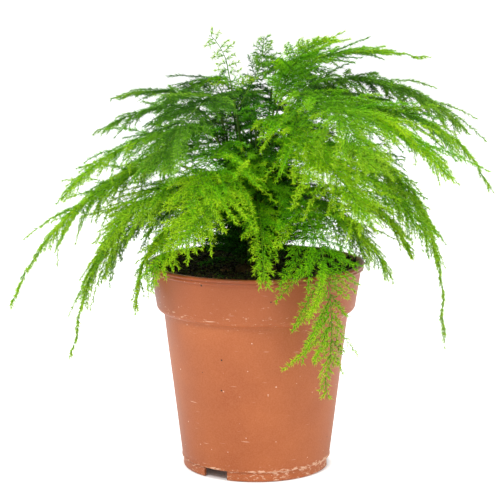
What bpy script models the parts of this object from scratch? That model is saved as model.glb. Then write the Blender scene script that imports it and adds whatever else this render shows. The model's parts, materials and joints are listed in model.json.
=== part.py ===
"""Potted asparagus fern: a plastic grower's pot, its potting soil, the fern's root crown, wiry stems and
feathery fronds.

Metres, +Z up. The origin is where the pot's axis meets the table, and the front of the plant faces -Y.
"""

import math
from collections import namedtuple

import bpy
from mathutils import Matrix, Vector

MM = 0.001

# ---------------------------------------------------------------- driving dimensions, in metres

POT_HEIGHT = 0.115
RIM_RADIUS = 0.060
LIP_HEIGHT = 0.003
LIP_OVERHANG = 0.0018
LIP_ROUNDING = 0.0012
COLLAR_HEIGHT = 0.0265
COLLAR_TAPER = 0.0028
COLLAR_STEP = 0.0040
COLLAR_ROUNDING = 0.0035
BASE_RADIUS = 0.0408
FOOT_HEIGHT = 0.0058
FOOT_INSET = 0.0006
FOOT_WALL = 0.0020
WALL = 0.0014
FLOOR_THICKNESS = 0.0018

NOTCH_COUNT = 3
NOTCH_WIDTH = 0.0150
NOTCH_HEIGHT = 0.0052
NOTCH_AZIMUTH = 236.5
DRAIN_COUNT = 6
DRAIN_RADIUS = 0.0040
DRAIN_FROM_FOOT = 0.0095

SOIL_DROP = 0.0050
SEAT_GAP = 0.0003

CROWN_RADIUS = 0.0125
CROWN_RISE = 0.0040
CROWN_DEPTH = 0.0180
CROWN_ROUNDING = 0.0020
CROWN_FOOT_SHARE = 0.7
CROWN_SHOULDER_SHARE = 1 / 3

STEM_RADIUS = 0.0010
STEM_RING_INSET = 0.0038
TOP_STEM_RING_RADIUS = 0.0034
STEM_UPRIGHT_SHARE = 0.45
STEM_BEND_SHARE = 0.75

FROND_THICKNESS = 0.0020
FROND_ROOT_WIDTH = 0.0022
FROND_TIP_WIDTH = 0.0016
FROND_SEAT_RELIEF = 0.0002
LOBE_DEPTH = 0.50
LOBE_SWEEP = 0.70
FROND_CAMBER = 0.16
PETIOLE_LENGTH = 0.012
STALK_SHARE = 0.08
WIDEST_SHARE = 0.48
TIP_FULLNESS = 0.8

TURNED_STEPS = 44
STEM_STATIONS = 9
FROND_STATIONS = 15

# ---------------------------------------------------------------- the plant's habit

# A stem springs from the crown at its azimuth (degrees from +X, so the front is 270) and leans out to
# (distance from the pot's axis, height above the rim), in millimetres.
Stem = namedtuple("Stem", "azimuth out up")

STEMS = {
    "right": Stem(6, 24, 90),
    "right_back": Stem(38, 24, 82),
    "back_right": Stem(68, 24, 95),
    "back": Stem(98, 24, 80),
    "back_left": Stem(128, 24, 93),
    "left_back": Stem(155, 23, 84),
    "left": Stem(182, 24, 76),
    "left_front": Stem(211, 23, 66),
    "front_left": Stem(241, 22, 84),
    "front": Stem(270, 22, 74),
    "front_right": Stem(300, 23, 86),
    "right_front": Stem(333, 24, 78),
    "top_left": Stem(176, 13, 94),
    "top_right": Stem(20, 13, 99),
}
TOP_STEMS = ("top_left", "top_right")

# A frond springs from a stem at a share of the way up it. Its midrib leaves at the azimuth, swings by a
# few degrees to its tip, and bends over a crest and a shoulder. Those two and the tip are each
# (distance past the pot's rim, height above the rim). half_width is the widest spread of its side
# sprays, and roll tips the blade about its midrib. Millimetres and degrees.
Frond = namedtuple("Frond", "stem share azimuth swing crest shoulder tip half_width roll shade")

FRONDS = {
    "right_upper": Frond("right", 1.00, 12, 6, (-15, 108), (35, 99), (64, 70), 14, 0, "deep"),
    "right_arch": Frond("right", 0.86, 7, -1, (-5, 90), (50, 90), (71, 39), 14, 0, "mid"),
    "right_trail": Frond("right", 0.62, -8, 0, (-5, 76), (47, 53), (44, -38), 13, 0, "mid"),
    "right_low": Frond("right", 0.38, -4, 0, (-20, 44), (12, 38), (26, 5), 12, 0, "lime"),
    "right_back_upper": Frond("right_back", 1.00, 40, 2, (-20, 100), (20, 96), (46, 66), 14, 0, "deep"),
    "right_back_middle": Frond("right_back", 0.72, 38, 0, (-12, 66), (30, 60), (50, 22), 15, 0, "mid"),
    "right_back_low": Frond("right_back", 0.44, 42, 0, (-18, 34), (14, 26), (26, -12), 13, 0, "deep"),
    "back_right_upper": Frond("back_right", 1.00, 68, 0, (-22, 113), (14, 109), (40, 79), 15, 0, "mid"),
    "back_right_middle": Frond("back_right", 0.75, 66, 0, (-15, 80), (24, 74), (42, 38), 15, 0, "deep"),
    "back_right_low": Frond("back_right", 0.46, 70, 0, (-18, 48), (18, 40), (34, -2), 13, 0, "mid"),
    "back_upper": Frond("back", 1.00, 98, 0, (-22, 98), (10, 93), (35, 60), 15, 0, "deep"),
    "back_middle": Frond("back", 0.72, 96, 0, (-15, 64), (20, 57), (35, 18), 15, 0, "mid"),
    "back_trail": Frond("back", 0.44, 99, 0, (-18, 34), (24, 24), (24, -40), 12, 0, "mid"),
    "back_left_upper": Frond("back_left", 1.00, 126, 0, (-22, 101), (12, 98), (36, 71), 14, 0, "mid"),
    "back_left_middle": Frond("back_left", 0.75, 128, 0, (-15, 77), (25, 71), (48, 35), 15, 0, "deep"),
    "back_left_low": Frond("back_left", 0.46, 129, 0, (-18, 45), (15, 37), (32, -4), 13, 0, "mid"),
    "left_back_upper": Frond("left_back", 1.00, 153, 0, (-22, 92), (8, 94), (29, 88), 13, 0, "deep"),
    "left_back_middle": Frond("left_back", 0.74, 155, 0, (-15, 62), (25, 58), (46, 24), 15, 0, "mid"),
    "left_back_low": Frond("left_back", 0.46, 158, 0, (-15, 34), (18, 27), (34, -16), 12, 0, "deep"),
    "left_upper": Frond("left", 1.00, 178, 2, (-24, 88), (6, 88), (27, 72), 14, 0, "deep"),
    "left_arch": Frond("left", 0.80, 188, 6, (0, 62), (55, 38), (76, -19), 14, 0, "mid"),
    "left_trail": Frond("left", 0.56, 180, 2, (-5, 42), (33, 27), (42, -51), 13, 0, "mid"),
    "left_low": Frond("left", 0.36, 192, 3, (-20, 28), (9, 18), (8, -24), 9, 0, "lime"),
    "left_front_upper": Frond("left_front", 1.00, 206, -1, (-14, 78), (24, 77), (53, 41), 14, 0, "mid"),
    "left_front_middle": Frond("left_front", 0.72, 211, 0, (-18, 52), (12, 48), (34, 18), 13, 0, "mid"),
    "left_front_rim": Frond("left_front", 0.40, 219, 0, (-25, 27), (2, 26), (12, -6), 10, 0, "lime"),
    "front_left_upper": Frond("front_left", 1.00, 238, 0, (-22, 102), (12, 92), (36, 60), 15, 0, "deep"),
    "front_left_middle": Frond("front_left", 0.76, 246, 2, (-20, 72), (10, 68), (30, 40), 14, 0, "lime"),
    "front_left_short": Frond("front_left", 0.56, 236, 0, (-30, 46), (-8, 44), (8, 28), 11, 0, "deep"),
    "front_upper": Frond("front", 1.00, 286, 14, (-22, 86), (10, 79), (30, 52), 14, 0, "lime"),
    "front_middle": Frond("front", 0.70, 262, -16, (-20, 58), (12, 51), (34, 22), 14, 0, "lime"),
    "front_low": Frond("front", 0.42, 273, 0, (-22, 34), (3, 31), (15, 0), 11, 0, "lime"),
    "front_right_upper": Frond("front_right", 1.00, 302, 0, (-20, 104), (20, 96), (51, 62), 15, 0, "mid"),
    "front_right_middle": Frond("front_right", 0.76, 301, 3, (-20, 74), (15, 68), (42, 34), 15, 0, "lime"),
    "front_right_trail": Frond("front_right", 0.46, 306, -4, (-18, 44), (28, 14), (8, -64), 12, 0, "lime"),
    "right_front_upper": Frond("right_front", 1.00, 333, 2, (-15, 94), (28, 86), (52, 52), 15, 0, "lime"),
    "right_front_middle": Frond("right_front", 0.72, 333, 0, (-15, 62), (20, 56), (40, 20), 15, 0, "mid"),
    "right_front_low": Frond("right_front", 0.44, 332, 0, (-22, 34), (6, 30), (20, -2), 12, 0, "mid"),
    "top_sprig": Frond("top_left", 1.00, 178, 0, (-46, 108), (-44, 118), (-34, 125), 8, 0, "lime"),
    "top_plume": Frond("top_left", 0.86, 80, 0, (-44, 104), (-37, 114), (-34, 122), 9, 0, "deep"),
    "top_flat": Frond("top_right", 0.80, 325, -5, (-38, 112), (-24, 126), (-6, 123), 12, 0, "lime"),
    "top_right": Frond("top_right", 1.00, 22, 0, (-24, 115), (10, 119), (43, 110), 13, 0, "mid"),
}

# ---------------------------------------------------------------- materials: colour, roughness

FINISHES = {
    "pot_plastic": ((0.58, 0.165, 0.065, 1), 0.45),
    "potting_soil": ((0.022, 0.016, 0.011, 1), 0.95),
    "crown_bark": ((0.12, 0.075, 0.035, 1), 0.85),
    "stem_green": ((0.055, 0.12, 0.02, 1), 0.55),
    "leaf_lime": ((0.21, 0.50, 0.012, 1), 0.60),
    "leaf_mid": ((0.10, 0.31, 0.012, 1), 0.60),
    "leaf_deep": ((0.045, 0.16, 0.014, 1), 0.60),
}


def principled(name, finish):
    colour, roughness = FINISHES[finish]
    material = bpy.data.materials.new(name)
    material.use_nodes = True
    material.diffuse_color = colour
    shader = material.node_tree.nodes["Principled BSDF"]
    shader.inputs["Base Color"].default_value = colour
    shader.inputs["Roughness"].default_value = roughness
    shader.inputs["Metallic"].default_value = 0.0
    return material


# ---------------------------------------------------------------- small helpers


def clear_scene():
    for obj in list(bpy.data.objects):
        bpy.data.objects.remove(obj, do_unlink=True)


def new_collection(name):
    collection = bpy.data.collections.new(name)
    bpy.context.scene.collection.children.link(collection)
    return collection


def polar(radius, azimuth, height):
    angle = math.radians(azimuth)
    return Vector((radius * math.cos(angle), radius * math.sin(angle), height))


def bezier(controls, share):
    """The point at a share of the way along the Bezier curve of any number of control points."""
    points = list(controls)
    while len(points) > 1:
        points = [a.lerp(b, share) for a, b in zip(points, points[1:])]
    return points[0]


def bezier_tangent(controls, share):
    steps = [b - a for a, b in zip(controls, controls[1:])]
    return bezier(steps, share).normalized()


def add_object(name, mesh, collection, finish):
    obj = bpy.data.objects.new(name, mesh)
    collection.objects.link(obj)
    mesh.materials.append(principled(name, finish))
    return obj


def turned(name, profile, collection, finish):
    """A solid of revolution about Z from (radius, height) points that run down its outer side."""
    mesh = bpy.data.meshes.new(name)
    edges = [(i, i + 1) for i in range(len(profile) - 1)]
    mesh.from_pydata([(radius, 0, height) for radius, height in profile], edges, [])
    obj = add_object(name, mesh, collection, finish)
    screw = obj.modifiers.new("turn", "SCREW")
    screw.axis = "Z"
    screw.steps = TURNED_STEPS
    screw.render_steps = TURNED_STEPS
    screw.use_merge_vertices = True
    screw.merge_threshold = 0.00001
    screw.use_smooth_shade = True
    return obj


def quarter_round(centre, radius, start, end, count=4):
    """Points on an arc about a (radius, height) centre, between two angles in degrees."""
    angles = [math.radians(start + (end - start) * i / (count - 1)) for i in range(count)]
    return [(centre[0] + radius * math.cos(a), centre[1] + radius * math.sin(a)) for a in angles]


# ---------------------------------------------------------------- pot, soil and crown

FLOOR_TOP = FOOT_HEIGHT + FLOOR_THICKNESS
COLLAR_LOW = POT_HEIGHT - COLLAR_HEIGHT
COLLAR_TOP_RADIUS = RIM_RADIUS - LIP_OVERHANG
COLLAR_LOW_RADIUS = COLLAR_TOP_RADIUS - COLLAR_TAPER
SHOULDER_RADIUS = COLLAR_LOW_RADIUS - COLLAR_STEP
BODY_LOW_RADIUS = BASE_RADIUS + FOOT_INSET
STEP_HEIGHT = COLLAR_ROUNDING
SOIL_TOP = POT_HEIGHT - SOIL_DROP
CROWN_TOP = SOIL_TOP + CROWN_RISE


def inner_wall():
    """The inside of the pot's wall as (radius, height) points, from the floor up to the rim."""
    low = BODY_LOW_RADIUS - WALL
    shoulder = SHOULDER_RADIUS - WALL
    rise = (FLOOR_TOP - FOOT_HEIGHT) / (COLLAR_LOW - FOOT_HEIGHT)
    return [
        (low + (shoulder - low) * rise, FLOOR_TOP),
        (shoulder, COLLAR_LOW),
        (COLLAR_LOW_RADIUS - WALL, COLLAR_LOW + STEP_HEIGHT),
        (COLLAR_TOP_RADIUS - WALL, POT_HEIGHT),
    ]


def wall_radius_at(height):
    """The pot's inner radius at a height."""
    wall = inner_wall()
    for (low_radius, low), (high_radius, high) in zip(wall, wall[1:]):
        if height <= high:
            return low_radius + (high_radius - low_radius) * (height - low) / (high - low)
    return wall[-1][0]


def make_pot(parts, cutters):
    lip_low = POT_HEIGHT - LIP_HEIGHT
    rounding_centre = (COLLAR_LOW_RADIUS - COLLAR_ROUNDING, COLLAR_LOW + COLLAR_ROUNDING)
    profile = [(0, FLOOR_TOP)]
    profile += inner_wall()
    profile += quarter_round((RIM_RADIUS - LIP_ROUNDING, POT_HEIGHT - LIP_ROUNDING), LIP_ROUNDING, 90, 0)
    profile += [(RIM_RADIUS, lip_low), (COLLAR_TOP_RADIUS, lip_low - LIP_OVERHANG / 2)]
    profile += quarter_round(rounding_centre, COLLAR_ROUNDING, 0, -90)
    profile += [
        (SHOULDER_RADIUS, COLLAR_LOW),
        (BODY_LOW_RADIUS, FOOT_HEIGHT),
        (BODY_LOW_RADIUS - FOOT_INSET, FOOT_HEIGHT - FOOT_INSET),
        (BASE_RADIUS, FOOT_INSET),
        (BASE_RADIUS - FOOT_INSET, 0),
        (BASE_RADIUS - FOOT_WALL, 0),
        (BASE_RADIUS - FOOT_WALL, FOOT_HEIGHT),
        (0, FOOT_HEIGHT),
    ]
    pot = turned("grower_pot", profile, parts, "pot_plastic")
    for index in range(NOTCH_COUNT):
        azimuth = NOTCH_AZIMUTH + 360 * index / NOTCH_COUNT
        bpy.ops.mesh.primitive_cube_add(size=1, location=polar(BASE_RADIUS, azimuth, 0))
        notch = bpy.context.object
        notch.scale = (4 * FOOT_WALL + BODY_LOW_RADIUS - BASE_RADIUS, NOTCH_WIDTH, 2 * NOTCH_HEIGHT)
        notch.rotation_euler = (0, 0, math.radians(azimuth))
        cut(pot, notch, f"foot_notch_{index + 1}", cutters)
    for index in range(DRAIN_COUNT):
        azimuth = NOTCH_AZIMUTH + 360 * index / DRAIN_COUNT
        centre = polar(BASE_RADIUS - FOOT_WALL - DRAIN_FROM_FOOT, azimuth, FOOT_HEIGHT)
        bpy.ops.mesh.primitive_cylinder_add(
            vertices=12, radius=DRAIN_RADIUS, depth=4 * FLOOR_THICKNESS, location=centre
        )
        cut(pot, bpy.context.object, f"drain_hole_{index + 1}", cutters)


def cut(target, cutter, name, cutters):
    """Cuts the cutter object out of the target and files it with the cutters."""
    cutter.name = name
    cutter.hide_render = True
    cutter.display_type = "WIRE"
    for collection in list(cutter.users_collection):
        collection.objects.unlink(cutter)
    cutters.objects.link(cutter)
    boolean = target.modifiers.new(name, "BOOLEAN")
    boolean.operation = "DIFFERENCE"
    boolean.object = cutter


def make_soil(parts):
    pocket_radius = CROWN_RADIUS + SEAT_GAP
    pocket_floor = SOIL_TOP - CROWN_DEPTH - SEAT_GAP
    levels = [SOIL_TOP] + [h for _, h in reversed(inner_wall()) if h < SOIL_TOP]
    levels[-1] = FLOOR_TOP + SEAT_GAP
    profile = [(0, pocket_floor), (pocket_radius, pocket_floor), (pocket_radius, SOIL_TOP)]
    profile += [(wall_radius_at(level) - SEAT_GAP, level) for level in levels]
    profile += [(0, FLOOR_TOP + SEAT_GAP)]
    turned("potting_soil", profile, parts, "potting_soil")


def make_crown(parts):
    foot_level = SOIL_TOP - CROWN_DEPTH
    centre = (CROWN_RADIUS - CROWN_ROUNDING, CROWN_TOP - CROWN_ROUNDING)
    profile = [(0, CROWN_TOP)]
    profile += quarter_round(centre, CROWN_ROUNDING, 90, 0)
    profile += [
        (CROWN_RADIUS, SOIL_TOP - CROWN_DEPTH * CROWN_SHOULDER_SHARE),
        (CROWN_FOOT_SHARE * CROWN_RADIUS, foot_level),
        (0, foot_level),
    ]
    turned("root_crown", profile, parts, "crown_bark")


# ---------------------------------------------------------------- stems


def stem_controls(name):
    """The Bezier control points of a stem, from its seat on the crown to its top."""
    stem = STEMS[name]
    ring = TOP_STEM_RING_RADIUS if name in TOP_STEMS else CROWN_RADIUS - STEM_RING_INSET
    seat = CROWN_TOP + SEAT_GAP
    top = POT_HEIGHT + stem.up * MM
    out = stem.out * MM
    return [
        polar(ring, stem.azimuth, seat),
        polar(ring, stem.azimuth, seat + STEM_UPRIGHT_SHARE * (top - seat)),
        polar((ring + out) / 2, stem.azimuth, seat + STEM_BEND_SHARE * (top - seat)),
        polar(out, stem.azimuth, top),
    ]


def make_stem(name, parts):
    controls = stem_controls(name)
    curve = bpy.data.curves.new(f"stem_{name}", "CURVE")
    curve.dimensions = "3D"
    curve.bevel_depth = STEM_RADIUS
    curve.bevel_resolution = 2
    curve.use_fill_caps = True
    spline = curve.splines.new("POLY")
    spline.points.add(STEM_STATIONS - 1)
    for index, point in enumerate(spline.points):
        point.co = (*bezier(controls, index / (STEM_STATIONS - 1)), 1)
    add_object(f"stem_{name}", curve, parts, "stem_green")


# ---------------------------------------------------------------- fronds


def past_rim(azimuth, station):
    """The place of a (past the rim, above the rim) station, in millimetres, at an azimuth."""
    out, up = station
    return polar(RIM_RADIUS + out * MM, azimuth, POT_HEIGHT + up * MM)


def midrib_controls(frond):
    """The Bezier control points of a frond's midrib. Its root stands off its stem by the seat gap."""
    stem = stem_controls(frond.stem)
    crest = past_rim(frond.azimuth, frond.crest)
    shoulder = past_rim(frond.azimuth + frond.swing / 2, frond.shoulder)
    tip = past_rim(frond.azimuth + frond.swing, frond.tip)
    node = bezier(stem, frond.share)
    along = bezier_tangent(stem, frond.share)
    if frond.share == 1:
        root = node + along * (SEAT_GAP + FROND_SEAT_RELIEF)
        return [root, root + along * PETIOLE_LENGTH, crest, shoulder, tip]
    leaving = (crest - node).normalized()
    sine = leaving.cross(along).length
    cosine = abs(leaving.dot(along))
    stand_off = (STEM_RADIUS + SEAT_GAP + FROND_THICKNESS / 2 * cosine) / sine
    return [node + leaving * stand_off, crest, shoulder, tip]


def half_width_at(frond, share, lobed):
    """Half the blade's width at a share of its length: a bare stalk, a swelling, then a taper to the tip."""
    swelling = min(1, max(0, (share - STALK_SHARE) / (WIDEST_SHARE - STALK_SHARE)))
    taper = min(1, (1 - share) / (1 - WIDEST_SHARE))
    full = frond.half_width * MM * math.sin(swelling * math.pi / 2) * taper**TIP_FULLNESS
    ends = (FROND_ROOT_WIDTH * (1 - share) + FROND_TIP_WIDTH * share) / 2
    return max(ends, full * (1 if lobed else 1 - LOBE_DEPTH))


def make_frond(name, parts):
    frond = FRONDS[name]
    controls = midrib_controls(frond)
    run = controls[-1] - controls[0]
    level = Vector((-run.y, run.x, 0)).normalized()
    spacing = (controls[-1] - controls[0]).length / (FROND_STATIONS - 1)
    points = []
    for station in range(FROND_STATIONS):
        share = station / (FROND_STATIONS - 1)
        middle = bezier(controls, share)
        tangent = bezier_tangent(controls, share)
        side = (level - tangent * level.dot(tangent)).normalized()
        side = Matrix.Rotation(math.radians(frond.roll), 3, tangent) @ side
        up = tangent.cross(side)
        lobed = station % 2 == 1
        spread = half_width_at(frond, share, lobed)
        sweep = tangent * (LOBE_SWEEP * spacing if lobed else 0)
        for reach in (spread, 0, -spread):
            edge = abs(reach) / spread
            points.append(middle + side * reach + sweep * edge - up * (FROND_CAMBER * spread * edge))
    faces = []
    for station in range(FROND_STATIONS - 1):
        for column in (0, 1):
            here = 3 * station + column
            faces.append((here, here + 3, here + 4, here + 1))
    mesh = bpy.data.meshes.new(f"frond_{name}")
    mesh.from_pydata(points, [], faces)
    blade = add_object(f"frond_{name}", mesh, parts, f"leaf_{frond.shade}")
    mesh.shade_smooth()
    solidify = blade.modifiers.new("thickness", "SOLIDIFY")
    solidify.thickness = FROND_THICKNESS
    solidify.offset = 0


# ---------------------------------------------------------------- the plant

clear_scene()
plant = new_collection("potted_asparagus_fern")
cutter_collection = new_collection("cutters")
make_pot(plant, cutter_collection)
make_soil(plant)
make_crown(plant)
for stem_name in STEMS:
    make_stem(stem_name, plant)
for frond_name in FRONDS:
    make_frond(frond_name, plant)
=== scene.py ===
"""Looks of the potted asparagus fern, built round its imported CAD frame.

Metres, +Z up, in the frame of the CAD part: the pot stands on z = 0 and its front faces -Y.
"""

import json
import math

import bpy
import numpy as np
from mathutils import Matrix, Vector, noise


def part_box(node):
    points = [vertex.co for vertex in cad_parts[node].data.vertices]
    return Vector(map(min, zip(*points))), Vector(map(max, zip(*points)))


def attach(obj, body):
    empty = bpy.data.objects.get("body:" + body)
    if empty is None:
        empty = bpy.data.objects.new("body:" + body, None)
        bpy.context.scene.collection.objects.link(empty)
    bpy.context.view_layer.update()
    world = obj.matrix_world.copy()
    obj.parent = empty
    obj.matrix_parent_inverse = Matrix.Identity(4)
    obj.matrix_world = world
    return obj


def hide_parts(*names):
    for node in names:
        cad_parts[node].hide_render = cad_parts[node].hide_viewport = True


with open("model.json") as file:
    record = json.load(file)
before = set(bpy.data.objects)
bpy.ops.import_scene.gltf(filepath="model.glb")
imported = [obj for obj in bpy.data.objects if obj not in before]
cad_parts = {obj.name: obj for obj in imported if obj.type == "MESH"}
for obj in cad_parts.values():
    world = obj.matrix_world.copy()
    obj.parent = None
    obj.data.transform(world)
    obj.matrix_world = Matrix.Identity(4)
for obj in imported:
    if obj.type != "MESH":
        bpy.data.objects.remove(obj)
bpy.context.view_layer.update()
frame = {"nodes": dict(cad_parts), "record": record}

MM = 0.001
BAKE_MAP = "OFBake"
UP = np.array((0.0, 0.0, 1.0))

# ---- the plant's growth, in metres

PLUME_SPACING = 2.6 * MM
TWIG_SPACING = 2.0 * MM
WHORL_SPACING = 1.15 * MM
NEEDLES_PER_WHORL = 3
NEEDLE_LENGTH = 3.4 * MM
NEEDLE_WIDTH = 0.37 * MM
TWIG_WIDTH = 0.20 * MM
TWIG_LENGTH = 3.2 * MM
SHORTEST_TWIG = 0.8 * MM
TAIL_WAVE = 1.7 * MM
MIDRIB_FOOT = 0.42  # mm, the radius at the foot
MIDRIB_TAPER = 0.27  # mm, what it loses up to the tip
SHORTEST_REACH = (2.0, 3.2)  # mm, the range for plumes near a frond's ends
LADDER_REACH = (7, 14)  # mm, as a range
TWIG_ANGLE = (32, 50)  # degrees off the plume, as a range
NEEDLE_ANGLE = (34, 56)  # degrees off the twig, as a range
TIP_BRIGHTER = 0.28  # how much lighter a plume's tip is than its foot
TWIG_TIP_BRIGHTER = 0.16
NEEDLE_TINT_SPREAD = 0.10
PLUME_TINT_SPREAD = 0.13
FROND_TINT_CLIMB = 0.58  # how much lighter the plumes at a frond's tip are than those at its foot
PLUME_SWAY = 0.12  # how far a plume bends sideways, as a share of its length
PLUME_ANGLE = 60  # degrees off the midrib, at the frond's foot
PLUME_ANGLE_SPREAD = 6
STALK_SHARE = 0.07
WIDEST_SHARE = 0.38

# How a frond grows. reach: the longest side plumes, as a share of the CAD blade's half-width. droop: how
# far they hang, as a share of their length. flat: how far the needles stand out of the blade's plane.
# spacing: how far apart the plumes are, against the usual. tail: past this share the frond is thin and
# nearly bare. tint: how much lighter the whole frond is. twigs: how long the side twigs are, against the
# usual. lean: how much longer the plumes are on one side. ladder: 1 for an upright shoot with level plumes.
HABIT = {
    "reach": 1.75,
    "droop": 0.20,
    "flat": 0.75,
    "spacing": 1.0,
    "tail": 1.0,
    "tint": 0.0,
    "twigs": 1.0,
    "lean": 0.0,
    "ladder": 0,
}
HABITS = {
    "left_arch": {"tail": 0.78, "droop": 0.24, "reach": 1.8, "tint": 0.32},
    "left_trail": {"tail": 0.82, "droop": 0.20, "reach": 2.1, "tint": 0.36},
    "left_front_upper": {"droop": 0.28, "reach": 1.4, "tint": 0.20},
    "left_front_middle": {"droop": 0.20, "reach": 2.0, "tint": 0.36},
    "left_front_rim": {"droop": 0.10, "reach": 1.9, "tint": 0.32},
    "left_back_upper": {"reach": 1.4, "spacing": 1.35, "tint": 0.06},
    "left_back_middle": {"droop": 0.40, "reach": 1.35, "tint": 0.05, "spacing": 1.2},
    "left_upper": {"reach": 1.3, "spacing": 1.4, "tint": 0.10},
    "left_low": {"droop": 0.30, "reach": 1.9, "tint": 0.30},
    "right_trail": {"tail": 0.78, "droop": 0.30, "reach": 1.9, "tint": 0.32},
    "right_arch": {"tail": 0.84, "droop": 0.32, "reach": 2.0, "tint": 0.20},
    "right_upper": {"droop": 0.30, "reach": 2.1, "tint": 0.26},
    "right_low": {"tint": 0.40, "reach": 2.0},
    "right_front_upper": {"tint": 0.28, "reach": 1.9},
    "right_front_middle": {"tint": 0.16, "reach": 1.8},
    "right_front_low": {"tint": 0.30, "reach": 1.8},
    "front_right_trail": {
        "tail": 0.90, "reach": 2.3, "tint": 0.30,
        "spacing": 1.5, "lean": -0.25, "droop": 0.05,
    },
    "front_right_middle": {"tint": 0.42, "reach": 2.2, "droop": 0.12, "spacing": 1.2, "twigs": 0.55},
    "front_right_upper": {"tint": 0.24, "reach": 2.0, "droop": 0.14, "twigs": 0.6},
    "front_left_middle": {"tint": 0.22, "reach": 1.9, "droop": 0.12, "spacing": 1.3, "twigs": 0.5},
    "front_upper": {"tint": 0.36, "droop": 0.16, "reach": 2.0, "spacing": 1.25, "twigs": 0.5},
    "front_middle": {"tint": 0.42, "droop": 0.12, "reach": 2.3, "spacing": 1.2, "twigs": 0.55},
    "front_low": {"tint": 0.28, "droop": 0.16, "reach": 1.1},
    "top_plume": {"tint": 0.10, "reach": 1.25},
    "top_flat": {"flat": 0.30, "droop": 0.02, "reach": 1.8, "tint": 0.24},
    "top_right": {"tail": 0.80, "flat": 0.35, "droop": 0.06, "tint": 0.14},
    "top_sprig": {"spacing": 1.5, "flat": 0.9, "droop": 0.04, "tint": 0.50, "twigs": 1.5, "ladder": 1},
    "back_upper": {"reach": 1.45},
    "back_middle": {"reach": 1.45},
    "back_trail": {"reach": 1.5, "tail": 0.84},
    "back_left_upper": {"reach": 1.5, "spacing": 1.3},
    "back_left_middle": {"reach": 1.6},
    "back_right_middle": {"reach": 1.6},
}

STEM_FOOT = 0.85 * MM
STEM_TIP = 0.50 * MM
SPUR_WIDTH = 0.5 * MM
STEM_PLUMES = 22
STEM_PLUME_LENGTH = (13, 27)  # mm, as a range
STEM_FLAT = 0.9
STEM_DROOP = 0.30
YOUNG_SHARE = 0.14  # the share of a stem's own plumes that are young and light
YOUNG_BRIGHTER = 0.32

# Plumes straight out of a stem, as ranges: place along the stem, azimuth in degrees, rise, length in mm and
# tint. The low ones close the gap over the back of the rim. The fans cover the middle with young growth.
LOW_PLUMES = {
    "count": 20,
    "share": (0.06, 0.44),
    "azimuth": (-30, 210),
    "rise": (-0.05, 0.6),
    "length": (18, 40),
    "tint": (0.03, 0.2),
    "droop": 0.05,
    "twigs": 1.0,
}
FAN_PLUMES = {
    "count": 16,
    "share": (0.40, 0.80),
    "azimuth": (-165, -5),
    "rise": (-0.25, 0.35),
    "length": (24, 38),
    "tint": (0.50, 0.74),
    "droop": 0.22,
    "twigs": 0.6,
}
FAN_STEMS = ("front", "front_left", "front_right")

# ---- the pot, in metres

LIP_OVERHANG = 0.0018
LIP_ROLL = 0.0010
LIP_LOWER_ROLL = 0.0008
COLLAR_HEIGHT = 0.0265
COLLAR_TAPER = 0.0028
COLLAR_STEP = 0.0040
COLLAR_ROUNDING = 0.0035
BASE_RADIUS = 0.0408
FOOT_HEIGHT = 0.0058
FOOT_INSET = 0.0006
FOOT_WALL = 0.0020
WALL = 0.0014
WALL_RIPPLE = 0.00016
INNER_CORNER = 0.002
FLOOR_THICKNESS = 0.0018
NOTCH_COUNT = 3
NOTCH_WIDTH = 0.0150
NOTCH_HEIGHT = 0.0052
NOTCH_DEPTH = 0.0094
NOTCH_ROUNDING = 0.0009
NOTCH_AZIMUTH = 236.5
DRAIN_COUNT = 6
DRAIN_RADIUS = 0.0040
DRAIN_FROM_FOOT = 0.0095
SEAT_GAP = 0.0003

# ---- reading the CAD nodes

FIT_PASSES = 6
LINE_POINTS = 200


def node_mesh(name):
    """The corner points of a CAD node, each once, and the edges between them."""
    mesh = frame["nodes"][name].data
    co = np.empty(len(mesh.vertices) * 3)
    mesh.vertices.foreach_get("co", co)
    co = co.reshape(-1, 3)
    _, first, index = np.unique(np.round(co, 6), axis=0, return_index=True, return_inverse=True)
    edges = np.empty(len(mesh.edges) * 2, int)
    mesh.edges.foreach_get("vertices", edges)
    edges = index.reshape(-1)[edges].reshape(-1, 2)
    return co[first], edges[edges[:, 0] != edges[:, 1]]


def walk_from(points, edges, start):
    """How far each point is from the start point, walking along the edges."""
    span = np.linalg.norm(points[edges[:, 0]] - points[edges[:, 1]], axis=1)
    walk = np.full(len(points), np.inf)
    walk[start] = 0
    while True:
        before = walk.copy()
        for here, there in ((0, 1), (1, 0)):
            np.minimum.at(walk, edges[:, there], walk[edges[:, here]] + span)
        if np.array_equal(before, walk):
            return walk


def midline(name, root_near, degree=5):
    """A smooth line of evenly spaced points through the middle of a long node, from its root to its tip.

    root_near: points that the root end is close to. Returns the node's points, the line and its length.
    """
    points, edges = node_mesh(name)
    one_end = walk_from(points, edges, 0).argmax()
    other_end = walk_from(points, edges, one_end).argmax()
    gap = [np.linalg.norm(root_near - points[end], axis=1).min() for end in (one_end, other_end)]
    walk = walk_from(points, edges, (one_end, other_end)[int(gap[1] < gap[0])])
    share = walk / walk.max()
    for _ in range(FIT_PASSES):
        fit = np.polynomial.polynomial.polyfit(share, points, degree)
        fine = np.linspace(0, 1, 400)
        line = np.polynomial.polynomial.polyval(fine, fit).T
        nearest = np.linalg.norm(points[:, None] - line[None], axis=2).argmin(1)
        share = (fine[nearest] - fine[nearest].min()) / np.ptp(fine[nearest])
    run = np.concatenate([[0], np.cumsum(np.linalg.norm(np.diff(line, axis=0), axis=1))])
    even = np.linspace(0, run[-1], LINE_POINTS)
    return points, np.stack([np.interp(even, run, line[:, axis]) for axis in range(3)], 1), run[-1]


def unit(vectors):
    return vectors / np.linalg.norm(vectors, axis=-1, keepdims=True)


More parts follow.
